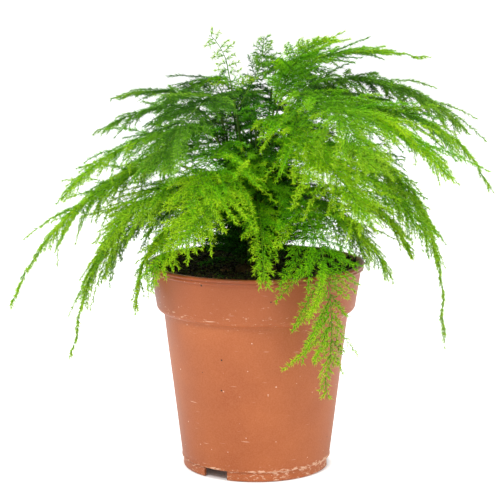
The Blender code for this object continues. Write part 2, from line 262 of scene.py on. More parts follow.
def blade_frame(points, line):
    """Along, side and face directions of a blade at each of its midline's points, and its half-width."""
    along = unit(np.gradient(line, axis=0))
    run = line[-1] - line[0]
    level = unit(np.array((-run[1], run[0], 0.0)))
    level = unit(level - along * (along @ level)[:, None])
    rise = np.cross(along, level)
    nearest = np.linalg.norm(points[:, None] - line[None], axis=2).argmin(1)
    offset = points - line[nearest]
    flat = np.stack([(offset * level[nearest]).sum(1), (offset * rise[nearest]).sum(1)], 1)
    _, turn = np.linalg.eigh(flat.T @ flat)
    across = turn[:, 1] * np.sign(turn[0, 1])
    side = level * across[0] + rise * across[1]
    return along, side, np.cross(along, side), np.abs(flat @ across).max()


# ---- closed shapes, gathered into one mesh


def placed(name, mesh, material):
    """An object in the scene, made from this mesh and material."""
    mesh.materials.append(material)
    piece = bpy.data.objects.new(name, mesh)
    bpy.context.scene.collection.objects.link(piece)
    return piece


class Growth:
    """The closed needles and twigs of one piece.

    Each point has a place in the colour map: its tint across, and from root to tip upwards.
    """

    def __init__(self):
        self.points = []
        self.faces = []
        self.places = []
        self.count = 0

    def add(self, points, faces, places):
        self.points.append(points.reshape(-1, 3))
        self.places.append(places.reshape(-1, 2))
        self.faces.append(faces.reshape(-1, 3) + self.count)
        self.count += self.points[-1].shape[0]

    def build(self, name, material):
        points = np.concatenate(self.points)
        faces = np.concatenate(self.faces)
        places = np.concatenate(self.places)
        mesh = bpy.data.meshes.new(name)
        mesh.vertices.add(len(points))
        mesh.vertices.foreach_set("co", points.astype(np.float32).ravel())
        mesh.loops.add(faces.size)
        mesh.loops.foreach_set("vertex_index", faces.astype(np.int32).ravel())
        mesh.polygons.add(len(faces))
        mesh.polygons.foreach_set("loop_start", np.arange(0, faces.size, 3, dtype=np.int32))
        mesh.polygons.foreach_set("use_smooth", np.ones(len(faces), bool))
        mesh.update(calc_edges=True)
        mesh.validate()
        layer = mesh.uv_layers.new(name=BAKE_MAP)
        corner = np.empty(len(mesh.loops), np.int32)
        mesh.loops.foreach_get("vertex_index", corner)
        layer.data.foreach_set("uv", places[corner].astype(np.float32).ravel())
        return placed(name, mesh, material)


PATCH = 0.010  # half the width that a shape takes in the colour map
NEEDLE_BAND = (0.16, 0.96)
TWIG_BAND = (0.02, 0.08)


def add_needles(growth, base, heading, length, width, tint, band=NEEDLE_BAND):
    """Three-sided needles: base (n, 3), heading (n, 3) of unit length, and n lengths, widths and tints."""
    helper = np.where(np.abs(heading[:, 2:]) > 0.8, np.array((1.0, 0.0, 0.0)), UP)
    first = unit(np.cross(heading, helper))
    second = np.cross(heading, first)
    corners = []
    for turn in (0, 1, 2):
        angle = 2 * math.pi * turn / 3
        reach = first * math.cos(angle) + second * math.sin(angle)
        corners.append(base + reach * (width / 2)[:, None])
    corners.append(base + heading * length[:, None])
    points = np.stack(corners, 1)
    here = 4 * np.arange(len(base))[:, None, None]
    faces = here + np.array([(0, 2, 1), (0, 1, 3), (1, 2, 3), (2, 0, 3)])
    low, high = band
    shift = np.array((-PATCH, 0, PATCH, 0))
    rise = np.array((low, low - 0.04 * (high - low), low, high))
    places = np.stack([tint[:, None] + shift, np.broadcast_to(rise, (len(base), 4))], 2)
    growth.add(points, faces, places)


def add_tubes(growth, paths, radii, tint, sides=3, band=TWIG_BAND):
    """Closed tubes along paths (n, m, 3), with radii (n, m) and n tints."""
    count, stations = paths.shape[:2]
    along = unit(np.gradient(paths, axis=1))
    helper = np.where(np.abs(along[:, :1, 2:]) > 0.8, np.array((1.0, 0.0, 0.0)), UP)
    first = unit(np.cross(along, helper))
    second = np.cross(along, first)
    angle = 2 * np.pi * np.arange(sides) / sides
    ring = first[:, :, None] * np.cos(angle)[:, None] + second[:, :, None] * np.sin(angle)[:, None]
    points = paths[:, :, None] + ring * radii[:, :, None, None]
    faces = []
    for station in range(stations - 1):
        for k in range(sides):
            a, b = station * sides + k, station * sides + (k + 1) % sides
            faces += [(a, b, a + sides), (b, b + sides, a + sides)]
    last = (stations - 1) * sides
    for k in range(1, sides - 1):
        faces += [(0, k + 1, k), (last, last + k, last + k + 1)]
    here = stations * sides * np.arange(count)[:, None, None]
    low, high = band
    u = tint[:, None, None] + PATCH * (2 * np.arange(sides) / (sides - 1) - 1)
    u = np.broadcast_to(u, (count, stations, sides))
    climb = np.arange(stations)[:, None] / (stations - 1) * 0.9 + 0.1 * (np.arange(sides) % 2)
    v = np.broadcast_to(low + (high - low) * climb, (count, stations, sides))
    growth.add(points, here + np.array(faces), np.stack([u, v], -1))


# ---- fronds


def envelope(share, tail):
    """Half the frond's width at a share of its length, as a share of the widest."""
    swelling = np.clip((share - STALK_SHARE) / (WIDEST_SHARE - STALK_SHARE), 0, 1)
    taper = np.clip((tail - share) / (tail - WIDEST_SHARE), 0, 1)
    return np.sin(swelling * np.pi / 2) ** 0.7 * taper**0.75


def counted(counts):
    """For runs of these lengths: which run each item is in, and its place in the run from 0 to 1."""
    run = np.repeat(np.arange(len(counts)), counts)
    first = np.cumsum(counts) - counts
    place = np.arange(counts.sum()) - first[run]
    return run, place, (place + 0.5) / counts[run]


def grow_plumes(growth, rng, base, heading, face, length, tint, droop, flat, twigs=1.0):
    """Feathery side plumes. Each is a drooping twig with side twigs, all set with whorls of needles.

    base, heading, face, length and tint hold one row for each plume. droop, flat and twigs are as in HABIT.
    """
    count = len(base)
    bend = unit(np.cross(face, heading)) * rng.uniform(-PLUME_SWAY, PLUME_SWAY, (count, 1))
    bend = (bend - UP * droop * rng.uniform(0.6, 1.4, (count, 1))) * length[:, None]

    def at(index, share):
        share = share[:, None]
        return base[index] + heading[index] * length[index, None] * share + bend[index] * share**2

    def slope(index, share):
        return unit(heading[index] * length[index, None] + 2 * bend[index] * share[:, None])

    stations = np.linspace(0, 1, 5)
    every = np.arange(count)
    paths = np.stack([at(every, np.full(count, share)) for share in stations], 1)
    radii = np.broadcast_to(TWIG_WIDTH / 2 * (1.25 - stations), (count, 5))
    add_tubes(growth, paths, radii, tint)

    run, place, share = counted(np.maximum(1, np.round(length / TWIG_SPACING).astype(int)))
    heading_here = slope(run, share)
    across = unit(np.cross(face[run], heading_here)) * np.where(place % 2, 1.0, -1.0)[:, None]
    angle = np.radians(rng.uniform(*TWIG_ANGLE, len(run)))[:, None]
    tilt = face[run] * rng.uniform(-0.4, 0.4, (len(run), 1)) * flat
    twig_heading = unit(heading_here * np.cos(angle) + across * np.sin(angle) + tilt - UP * 0.08)
    twig_length = np.clip(0.20 * length[run] * (1.15 - share), SHORTEST_TWIG, TWIG_LENGTH)
    twig_length = twigs * twig_length * rng.uniform(0.75, 1.15, len(run))
    twig_base = at(run, share)
    twig_tint = tint[run] + TIP_BRIGHTER * share + rng.uniform(-0.04, 0.04, len(run))
    width = np.full(len(run), TWIG_WIDTH * 0.8)
    add_needles(growth, twig_base, twig_heading, twig_length, width, twig_tint, TWIG_BAND)

    on_plume, _, along = counted(np.maximum(1, np.round(length / WHORL_SPACING).astype(int)))
    on_twig, _, out = counted(np.maximum(1, np.round(twig_length / WHORL_SPACING).astype(int)))
    from_twig = twig_heading[on_twig] * (twig_length[on_twig] * out)[:, None]
    centre = np.concatenate([at(on_plume, along), twig_base[on_twig] + from_twig])
    whorl_heading = np.concatenate([slope(on_plume, along), twig_heading[on_twig]])
    whorl_face = np.concatenate([face[on_plume], face[run][on_twig]])
    end_tint = twig_tint[on_twig] + TWIG_TIP_BRIGHTER * out
    whorl_tint = np.concatenate([tint[on_plume] + TIP_BRIGHTER * along, end_tint])
    ending = np.concatenate([along, out])

    total = len(centre) * NEEDLES_PER_WHORL
    pick = np.repeat(np.arange(len(centre)), NEEDLES_PER_WHORL)
    whorl_side = unit(np.cross(whorl_face, whorl_heading))[pick]
    around = rng.uniform(0, 2 * np.pi, total)[:, None]
    lean = np.radians(rng.uniform(*NEEDLE_ANGLE, total) - 16 * ending[pick] ** 2)[:, None]
    outward = whorl_side * np.cos(around) + whorl_face[pick] * np.sin(around) * flat
    needle_heading = unit(whorl_heading[pick] * np.cos(lean) + unit(outward) * np.sin(lean))
    needle_length = NEEDLE_LENGTH * rng.uniform(0.8, 1.1, total) * (1.08 - 0.40 * ending[pick])
    needle_tint = np.clip(whorl_tint[pick] + rng.normal(0, NEEDLE_TINT_SPREAD, total), 0.03, 0.97)
    jitter = rng.uniform(-0.5, 0.5, (total, 1)) * WHORL_SPACING
    add_needles(
        growth,
        centre[pick] + whorl_heading[pick] * jitter,
        needle_heading,
        needle_length,
        NEEDLE_WIDTH * rng.uniform(0.8, 1.15, total),
        needle_tint,
    )


def grow_frond(name, rng, material, root_near):
    """A frond along its CAD blade: a midrib with side plumes on both hands, shorter towards both ends."""
    node = "frond_" + name
    points, line, length = midline(node, root_near)
    along, side, face, half_width = blade_frame(points, line)
    habit = {**HABIT, **HABITS.get(name, {})}
    tail = habit["tail"]
    growth = Growth()
    if habit["ladder"]:
        side = unit(np.cross(along, np.array((0.0, 1.0, 0.0))))
        face = np.cross(along, side)
    place = np.linspace(0, 1, len(line))
    wave = np.sin(place * 46) * np.clip((place - tail + 0.04) / (1.02 - tail), 0, 1)
    line = line + (side * 0.8 + face * 0.6) * (TAIL_WAVE * wave)[:, None]

    stations = np.linspace(0, len(line) - 1, 26).astype(int)
    share = stations / (len(line) - 1)
    radii = (MIDRIB_FOOT - MIDRIB_TAPER * share)[None] * MM
    add_tubes(growth, line[None, stations], radii, np.array([0.5]), sides=6)

    start = STALK_SHARE * length
    number = int((length - start) / PLUME_SPACING / habit["spacing"] * 2)
    order = np.arange(number) + rng.uniform(-0.4, 0.4, number)
    share = np.clip((start + (length - start) * order / number) / length, 0.02, 0.995)
    spot = (share * (len(line) - 1)).astype(int)
    hand = np.where(np.arange(number) % 2, 1.0, -1.0)
    reach = envelope(share, tail) * half_width * habit["reach"] * rng.uniform(0.55, 1.12, number)
    reach = reach * np.where(rng.random(number) < 0.12, 1.3, 1.0) * (1 + habit["lean"] * hand)
    reach = np.maximum(reach, rng.uniform(*SHORTEST_REACH, number) * MM)
    if habit["ladder"]:
        reach = rng.uniform(*LADDER_REACH, number) * MM * (1.15 - 0.85 * share)
    angle = PLUME_ANGLE - 24 * share + 26 * habit["ladder"]
    angle = np.radians(angle + rng.normal(0, PLUME_ANGLE_SPREAD, number))
    tilt = rng.normal(0, 0.40, number) * (1.3 - share) * habit["flat"]
    heading = (
        along[spot] * np.cos(angle)[:, None]
        + side[spot] * (hand * np.sin(angle))[:, None]
        + face[spot] * tilt[:, None]
    )
    keep = (share < tail) | (rng.random(number) < 0.95)
    tint = 0.05 + habit["tint"] + FROND_TINT_CLIMB * share + rng.normal(0, PLUME_TINT_SPREAD, number)
    tint = np.clip(tint, 0.03, 0.78)
    grow_plumes(
        growth,
        rng,
        line[spot][keep],
        unit(heading)[keep],
        face[spot][keep],
        (reach / np.sin(angle))[keep],
        tint[keep],
        habit["droop"],
        habit["flat"],
        habit["twigs"],
    )
    return growth.build(name + "_spray", material)


# ---- stems and the root crown


def outward(rng, around, rise):
    """Headings straight out of a stem at these azimuths, with a rise in this range, and the plumes' faces."""
    level = [np.cos(around), np.sin(around)]
    heading = unit(np.stack([*level, rng.uniform(*rise, len(around))], 1))
    return heading, unit(np.cross(np.cross(heading, UP), heading))


def add_stem_plumes(growth, rng, line, kind):
    """A set of plumes straight out of a stem, within the ranges of LOW_PLUMES or FAN_PLUMES."""
    count = kind["count"]
    spot = (rng.uniform(*kind["share"], count) * (len(line) - 1)).astype(int)
    heading, face = outward(rng, np.radians(rng.uniform(*kind["azimuth"], count)), kind["rise"])
    length = rng.uniform(*kind["length"], count) * MM
    tint = rng.uniform(*kind["tint"], count)
    grow_plumes(growth, rng, line[spot], heading, face, length, tint, kind["droop"], STEM_FLAT, kind["twigs"])


def grow_stem(name, rng, material, line):
    """A wiry stem with small spurs and the short plumes that fill the middle of the plant."""
    growth = Growth()
    stations = np.linspace(0, len(line) - 1, 30).astype(int)
    share = stations / (len(line) - 1)
    radii = (STEM_FOOT + (STEM_TIP - STEM_FOOT) * share) * (1 + 0.10 * np.cos(share * 40))
    add_tubes(growth, line[None, stations], radii[None], np.array([0.5]), sides=8)
    along = unit(np.gradient(line, axis=0))

    spot = np.arange(8, len(line) - 10, 11)
    around = rng.uniform(0, 2 * np.pi, len(spot))
    level = np.stack([np.cos(around), np.sin(around), np.zeros(len(spot))], 1)
    spur = unit(level + along[spot] * 0.9)
    size = rng.uniform(1.4, 2.2, len(spot)) * MM
    width = np.full(len(spot), SPUR_WIDTH)
    add_needles(growth, line[spot], spur, size, width, np.full(len(spot), 0.35), TWIG_BAND)

    share = rng.uniform(0.34, 0.99, STEM_PLUMES)
    spot = (share * (len(line) - 1)).astype(int)
    heading, face = outward(rng, rng.uniform(0, 2 * np.pi, STEM_PLUMES), (0.1, 0.8))
    tint = np.clip(0.16 * share**2 + rng.normal(0, 0.05, STEM_PLUMES), 0.03, 0.6)
    tint = tint + np.where(rng.random(STEM_PLUMES) < YOUNG_SHARE, YOUNG_BRIGHTER, 0)
    length = rng.uniform(*STEM_PLUME_LENGTH, STEM_PLUMES) * MM
    grow_plumes(growth, rng, line[spot], heading, face, length, tint, STEM_DROOP, STEM_FLAT)

    add_stem_plumes(growth, rng, line, LOW_PLUMES)
    if name in FAN_STEMS:
        add_stem_plumes(growth, rng, line, FAN_PLUMES)
    return growth.build(name + "_shoot", material)


def lumps(points, scale, seed, octaves=3):
    """Smooth noise at each point, about -1 to 1."""
    shift = Vector((seed * 7.3, seed * 3.1, seed * 5.7))
    return np.array([noise.fractal(Vector(p) * scale + shift, 0.8, 2.1, octaves) for p in points])


def turned(name, profile, steps, material):
    """A closed turned shape from (radius, height) points that start and end on the axis."""
    profile = np.array(profile)
    angle = 2 * np.pi * np.arange(steps) / steps
    middle = profile[1:-1]
    ring = np.stack(
        [np.outer(middle[:, 0], np.cos(angle)), np.outer(middle[:, 0], np.sin(angle)),
         np.repeat(middle[:, 1:], steps, 1)], -1
    ).reshape(-1, 3)
    points = np.concatenate([[(0, 0, profile[0, 1])], ring, [(0, 0, profile[-1, 1])]])
    faces = []
    for k in range(steps):
        after = (k + 1) % steps
        faces.append((0, 1 + k, 1 + after))
        for row in range(len(middle) - 1):
            low, high = 1 + row * steps, 1 + (row + 1) * steps
            faces.append((low + k, high + k, high + after, low + after))
        last = 1 + (len(middle) - 1) * steps
        faces.append((last + k, len(points) - 1, last + after))
    mesh = bpy.data.meshes.new(name)
    mesh.from_pydata(points.tolist(), [], faces)
    mesh.shade_smooth()
    return placed(name, mesh, material)


def push_out(piece, amount):
    """Moves each point of a mesh by amount(points) along its normal."""
    mesh = piece.data
    points = np.empty(len(mesh.vertices) * 3, np.float32)
    normals = np.empty_like(points)
    mesh.vertices.foreach_get("co", points)
    mesh.vertices.foreach_get("normal", normals)
    points, normals = points.reshape(-1, 3), normals.reshape(-1, 3)
    points += normals * amount(points)[:, None].astype(np.float32)
    mesh.vertices.foreach_set("co", points.ravel())
    mesh.update()


def make_crown(material):
    """The root crown: a low turned block with a rounded top and lumpy bark."""
    low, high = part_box("root_crown")
    radius = high.x - 0.0006
    heights = np.linspace(high.z - 0.003, low.z, 12)
    profile = [(0, high.z - 0.0004)]
    profile += [(radius * share, high.z - 0.0005 - 0.0018 * share**4) for share in (0.2, 0.4, 0.6, 0.8, 0.93)]
    profile += [(radius * min(1, 0.7 + 0.05 * k), height) for k, height in zip(range(12, -1, -1), heights)]
    profile += [(0, low.z)]
    crown = turned("rhizome_crown", profile, 72, material)
    push_out(crown, lambda points: 0.0009 * lumps(points, 300, 1) + 0.0005 * lumps(points, 900, 2) - 0.0004)
    return crown


# ---- potting soil

CRUMBS = 2600
FIBRES = 260
DROPPED = 500
LITTER_BAND = (0.3, 0.7)


def outer_levels(node):
    """The levels of a turned node, as (greatest radius, height) from the top down."""
    points, _ = node_mesh(node)
    height = np.round(points[:, 2], 5)
    radius = np.hypot(points[:, 0], points[:, 1])
    return [(radius[height == level].max(), level) for level in np.unique(height)[::-1]]


def soil_height(points):
    """How far the top of the soil stands above or below its level."""
    radius = np.hypot(points[:, 0], points[:, 1])
    heap = 0.0016 * np.clip(radius / 0.055, 0, 1) ** 3
    return heap + 0.0016 * lumps(points, 70, 3, 2) + 0.0011 * lumps(points, 330, 4, 4)


def make_soil(material):
    """The soil with its uneven top. Also returns the top's level and the radii of its pocket and its edge."""
    low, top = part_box("potting_soil")
    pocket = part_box("root_crown")[1].x + SEAT_GAP
    pocket_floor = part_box("root_crown")[0].z - SEAT_GAP
    wall = [level for level in outer_levels("potting_soil") if level[0] > 1.5 * pocket]
    edge = wall[0][0]
    profile = [(0, pocket_floor), (pocket * 0.7, pocket_floor)]
    profile += [(pocket, pocket_floor + 0.006), (pocket, top.z - 0.001)]
    profile += [(pocket + (edge - pocket) * share, top.z) for share in np.linspace(0.02, 1, 46)]
    profile += [(edge, top.z - 0.0015)] + wall[1:] + [(0, low.z)]
    soil = turned("potting_mix", profile, 200, material)
    mesh = soil.data
    points = np.array([v.co for v in mesh.vertices])
    surface = np.abs(points[:, 2] - top.z) < 1e-5
    points[surface, 2] += soil_height(points[surface])
    mesh.vertices.foreach_set("co", points.astype(np.float32).ravel())
    mesh.update()
    return soil, top.z, pocket, edge


def crumb_shape():
    """The points and faces of a plain 20-sided crumb."""
    golden = (1 + 5**0.5) / 2
    points = np.array(
        [(-1, golden, 0), (1, golden, 0), (-1, -golden, 0), (1, -golden, 0),
         (0, -1, golden), (0, 1, golden), (0, -1, -golden), (0, 1, -golden),
         (golden, 0, -1), (golden, 0, 1), (-golden, 0, -1), (-golden, 0, 1)]
    )
    faces = np.array(
        [(0, 11, 5), (0, 5, 1), (0, 1, 7), (0, 7, 10), (0, 10, 11), (1, 5, 9), (5, 11, 4), (11, 10, 2),
         (10, 7, 6), (7, 1, 8), (3, 9, 4), (3, 4, 2), (3, 2, 6), (3, 6, 8), (3, 8, 9), (4, 9, 5),
         (2, 4, 11), (6, 2, 10), (8, 6, 7), (9, 8, 1)]
    )
    return unit(points), faces


def add_crumbs(growth, rng, centre, size, tint):
    """Rough crumbs, each stretched and turned its own way."""
    shape, faces = crumb_shape()
    count = len(centre)
    stretch = rng.uniform(0.6, 1.2, (count, 1, 3))
    rough = rng.uniform(0.7, 1.25, (count, 12, 1))
    axis = unit(rng.normal(size=(count, 3)))
    second = unit(np.cross(axis, rng.normal(size=(count, 3))))
    turn = np.stack([axis, second, np.cross(axis, second)], 1)
    points = np.einsum("nij,njk->nik", shape[None] * stretch * rough, turn) * size[:, None, None]
    points = points + centre[:, None]
    places = np.empty((count, 12, 2))
    spread = 2 * np.pi * np.arange(12) / 12
    places[..., 0] = tint[:, None] + PATCH * np.cos(spread * 5)
    places[..., 1] = 0.5 + 0.3 * np.sin(spread * 7 + 0.4)
    growth.add(points, faces[None] + 12 * np.arange(count)[:, None, None], places)


def on_soil(rng, count, pocket, edge, top):
    """Places on top of the soil."""
    radius = np.sqrt(rng.uniform((pocket + 0.001) ** 2, (edge - 0.001) ** 2, count))
    angle = rng.uniform(0, 2 * np.pi, count)
    points = np.stack([radius * np.cos(angle), radius * np.sin(angle), np.full(count, top)], 1)
    points[:, 2] += soil_height(points)
    return points


def make_litter(material, top, pocket, edge):
    """Crumbs of peat and bark, fibres and dropped needles on top of the soil."""
    rng = np.random.default_rng(7)
    growth = Growth()
    size = rng.uniform(0.35, 1.0, CRUMBS) ** 2 * 1.5 * MM
    pale = rng.random(CRUMBS) < 0.10
    tint = np.where(pale, rng.uniform(0.45, 0.7, CRUMBS), rng.uniform(0.04, 0.4, CRUMBS))
    add_crumbs(growth, rng, on_soil(rng, CRUMBS, pocket, edge, top), size, tint)

    start = on_soil(rng, FIBRES, pocket, edge - 0.004, top) + UP * 0.0004
    angle = rng.uniform(0, 2 * np.pi, FIBRES)
    curl = rng.uniform(-1.6, 1.6, FIBRES)
    length = rng.uniform(2.5, 8, FIBRES) * MM
    steps = np.linspace(0, 1, 6)
    turn = angle[:, None] + curl[:, None] * steps
    step = np.stack([np.cos(turn), np.sin(turn), rng.uniform(-0.15, 0.25, (FIBRES, 1)) * np.ones(6)], -1)
    paths = start[:, None] + np.cumsum(step, 1) * (length / 6)[:, None, None]
    reach = np.hypot(paths[..., 0], paths[..., 1])[..., None]
    paths[..., :2] *= np.minimum(1, (edge - 0.001) / reach)
    radii = rng.uniform(0.06, 0.16, (FIBRES, 1)) * MM * (1.2 - 0.7 * steps)
    add_tubes(growth, paths, radii, rng.uniform(0.3, 0.68, FIBRES), band=LITTER_BAND)

    base = on_soil(rng, DROPPED, pocket, edge - 0.003, top) + UP * 0.0003
    angle = rng.uniform(0, 2 * np.pi, DROPPED)
    heading = unit(np.stack([np.cos(angle), np.sin(angle), rng.uniform(0.0, 0.7, DROPPED)], 1))
    green = rng.uniform(0.76, 0.95, DROPPED)
    width = np.full(DROPPED, 0.3 * MM)
    add_needles(growth, base, heading, rng.uniform(2, 4, DROPPED) * MM, width, green, LITTER_BAND)
    return growth.build("soil_litter", material)


# ---- the pot


def arc(centre, radius, start, end, count=6):
    """Points of an arc of a profile; angles in degrees from straight outwards."""
    angle = np.radians(np.linspace(start, end, count))
    return [(centre[0] + radius * math.cos(a), centre[1] + radius * math.sin(a)) for a in angle]


def straight(start, end, count):
    """Evenly spaced points of a straight run of a profile."""
    return [tuple(np.array(start) + (np.array(end) - start) * share) for share in np.linspace(0, 1, count)]


def pot_profile():
    """The moulded wall as (radius, height) points, from the middle of its floor round to the underside."""
    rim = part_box("grower_pot")[1]
    radius, height = rim.x, rim.z
    collar_top = radius - LIP_OVERHANG
    collar_low = collar_top - COLLAR_TAPER
    shoulder = collar_low - COLLAR_STEP
    body_low = BASE_RADIUS + FOOT_INSET
    step = height - COLLAR_HEIGHT
    floor = FOOT_HEIGHT + FLOOR_THICKNESS
    slope = (shoulder - body_low) / (step - FOOT_HEIGHT)
    foot_inner = BASE_RADIUS - FOOT_WALL

    # The inside: floor, wall and collar.
    profile = [(0, floor)] + straight((0.004, floor), (body_low - WALL - 0.003, floor), 8)
    profile += arc((body_low - WALL - INNER_CORNER, floor + INNER_CORNER), INNER_CORNER, -90, 0, 5)
    low = (body_low - WALL + slope * 0.004, floor + 0.004)
    profile += straight(low, (shoulder - WALL, step - 0.0005), 12)
    profile += arc((collar_low - WALL - 0.0035, step + 0.0048), 0.0035, -80, 0, 6)
    low = (collar_low - WALL + 0.0002, step + 0.007)
    profile += straight(low, (collar_top - WALL, height - 0.0007), 10)
    profile += arc((collar_top - WALL + 0.0006, height - 0.0006), 0.0006, 180, 90, 4)

    # The lip: two rolls with a groove between them.
    profile += arc((radius - LIP_ROLL, height - LIP_ROLL), LIP_ROLL, 90, -40, 7)
    profile += [(radius - 0.00075, height - 0.0019)]
    profile += arc((radius - LIP_ROLL, height - 0.0028), LIP_LOWER_ROLL, 40, -60, 6)
    profile += arc((collar_top + 0.0005, height - 0.0042), 0.0005, 110, 180, 4)

    # The outside: collar, its rounded lower edge, and the tapered wall.
    low = (collar_low, step + COLLAR_ROUNDING)
    profile += straight((collar_top - 0.0001, height - 0.0052), low, 12)
    profile += arc((collar_low - COLLAR_ROUNDING, step + COLLAR_ROUNDING), COLLAR_ROUNDING, -8, -84, 8)
    profile += arc((shoulder + 0.0007, step - 0.0007), 0.0007, 90, 180, 4)
    low = (body_low + slope * 0.0015, FOOT_HEIGHT + 0.0015)
    profile += straight((shoulder - slope * 0.003, step - 0.003), low, 22)

    # The foot ring and the underside.
    profile += [(body_low + 0.00005, FOOT_HEIGHT + 0.0009), (body_low + 0.00035, FOOT_HEIGHT + 0.0003)]
    profile += [(body_low + 0.00030, FOOT_HEIGHT - 0.0002), (BASE_RADIUS - 0.0001, FOOT_HEIGHT - FOOT_INSET)]
    profile += straight((BASE_RADIUS, FOOT_HEIGHT - 0.0012), (BASE_RADIUS, 0.0012), 4)
    profile += arc((BASE_RADIUS - 0.0008, 0.0008), 0.0008, 0, -90, 5)
    profile += arc((foot_inner + 0.0004, 0.0004), 0.0004, -90, -180, 3)
    profile += straight((foot_inner, 0.001), (foot_inner, FOOT_HEIGHT - 0.0008), 4)
    profile += [(foot_inner - 0.0008, FOOT_HEIGHT)]
    profile += straight((foot_inner - 0.003, FOOT_HEIGHT), (0.004, FOOT_HEIGHT), 8)
    return profile + [(0, FOOT_HEIGHT)]


def around_axis(reach, count):
    """Places at this reach from the axis, evenly spaced round it from the first notch on."""
    for index in range(count):
        angle = math.radians(NOTCH_AZIMUTH + 360 * index / count)
        yield angle, reach * math.cos(angle), reach * math.sin(angle)


def cut_openings(pot):
    """Cuts the foot's notches and the floor's drain holes into the mesh."""
    cutters = []
    for angle, x, y in around_axis(BASE_RADIUS, NOTCH_COUNT):
        bpy.ops.mesh.primitive_cube_add(size=1, location=(x, y, 0))
        cutter = bpy.context.object
        cutter.scale = (NOTCH_DEPTH, NOTCH_WIDTH, 2 * NOTCH_HEIGHT)
        cutter.rotation_euler = (0, 0, angle)
        rounding = cutter.modifiers.new("rounding", "BEVEL")
        rounding.width = NOTCH_ROUNDING
        rounding.segments = 3
        cutters.append(cutter)
    for _, x, y in around_axis(BASE_RADIUS - FOOT_WALL - DRAIN_FROM_FOOT, DRAIN_COUNT):
        place = (x, y, FOOT_HEIGHT)
        bpy.ops.mesh.primitive_cylinder_add(vertices=32, radius=DRAIN_RADIUS, depth=0.02, location=place)
        cutters.append(bpy.context.object)
    for cutter in cutters:
        boolean = pot.modifiers.new("cut", "BOOLEAN")
        boolean.object = cutter
        boolean.operation = "DIFFERENCE"
        boolean.solver = "EXACT"
    bpy.context.view_layer.update()
    graph = bpy.context.evaluated_depsgraph_get()
    cut = bpy.data.meshes.new_from_object(pot.evaluated_get(graph))
    pot.modifiers.clear()
    pot.data = cut
    for cutter in cutters:
        bpy.data.objects.remove(cutter)


def make_pot(material):
    """The moulded pot: rolled double lip, rounded collar, tapered body, notched foot ring and drain holes."""
    pot = turned("terracotta_grower_pot", pot_profile(), 220, material)
    push_out(pot, lambda points: WALL_RIPPLE * lumps(points, 24, 11, 2))
    cut_openings(pot)
    return pot


# ---- materials


def srgb(r, g, b):
    """Linear colour of an sRGB one given from 0 to 255."""
    linear = [c / 255 / 12.92 if c <= 10.3 else ((c / 255 + 0.055) / 1.055) ** 2.4 for c in (r, g, b)]
    return (*linear, 1.0)


def srgb_stops(rows):
    """A ramp's stops from rows of (position, red, green, blue)."""
    return [(position, srgb(*colour)) for position, *colour in rows]


def grey(value):
    return (value, value, value, 1)


def greys(*rows):
    """A ramp's stops from pairs of (position, value)."""
    return [(position, grey(value)) for position, value in rows]


class Nodes:
    """A short way to write a node tree."""

    def __init__(self, tree):
        self.tree = tree

    def node(self, kind, **settings):
        made = self.tree.nodes.new(kind)
        for key, value in settings.items():
            setattr(made, key, value)
        return made

    def link(self, source, target):
        self.tree.links.new(source, target)

    def feed(self, value, socket):
        """Links the value if it is a socket, and sets it on the socket otherwise."""
        if isinstance(value, bpy.types.NodeSocket):
            self.link(value, socket)
        else:
            socket.default_value = value

    def split(self, source, kind="XYZ"):
        """The outputs of a vector's or a colour's separate parts."""
        made = self.node("ShaderNodeSeparate" + kind)
        self.link(source, made.inputs[0])
        return made.outputs

    def ramp(self, source, stops):
        made = self.node("ShaderNodeValToRGB")
        elements = made.color_ramp.elements
        while len(elements) < len(stops):
            elements.new(0.5)
        for element, (position, colour) in zip(elements, stops):
            element.position = position
            element.color = colour
        self.link(source, made.inputs["Fac"])
        return made.outputs["Color"]

    def mix(self, factor, a, b, blend="MIX"):
        made = self.node("ShaderNodeMix", data_type="RGBA", blend_type=blend)
        for index, value in ((0, factor), (6, a), (7, b)):
            self.feed(value, made.inputs[index])
        return made.outputs[2]

    def math(self, operation, *values, clamp=False):
        made = self.node("ShaderNodeMath", operation=operation, use_clamp=clamp)
        for value, socket in zip(values, made.inputs):
            self.feed(value, socket)
        return made.outputs[0]

    def noise(self, vector, scale, detail, roughness):
        made = self.node("ShaderNodeTexNoise")
        self.link(vector, made.inputs["Vector"])
        made.inputs["Scale"].default_value = scale
        made.inputs["Detail"].default_value = detail
        made.inputs["Roughness"].default_value = roughness
        return made.outputs["Fac"]


def new_material(name, roughness):
    """A material with a Principled BSDF: the material, its tree and that shader."""
    material = bpy.data.materials.new(name)
    material.use_nodes = True
    nodes = Nodes(material.node_tree)
    shader = material.node_tree.nodes["Principled BSDF"]
    shader.inputs["Roughness"].default_value = roughness
    return material, nodes, shader


def new_group(name, inputs, outputs):
    """A shader node group. inputs and outputs: (name, socket type, default value or None)."""
    tree = bpy.data.node_groups.new(name, "ShaderNodeTree")
    for sockets, direction in ((inputs, "INPUT"), (outputs, "OUTPUT")):
        for label, kind, default in sockets:
            socket = tree.interface.new_socket(label, in_out=direction, socket_type=kind)
            if default is not None:
                socket.default_value = default
    nodes = Nodes(tree)
    return tree, nodes, nodes.node("NodeGroupInput").outputs, nodes.node("NodeGroupOutput").inputs


def tint_and_rise(nodes):
    """A point's place in the colour map: its tint, and how far up it is from root to tip."""
    place = nodes.split(nodes.node("ShaderNodeUVMap", uv_map=BAKE_MAP).outputs["UV"])
    return place["X"], place["Y"]


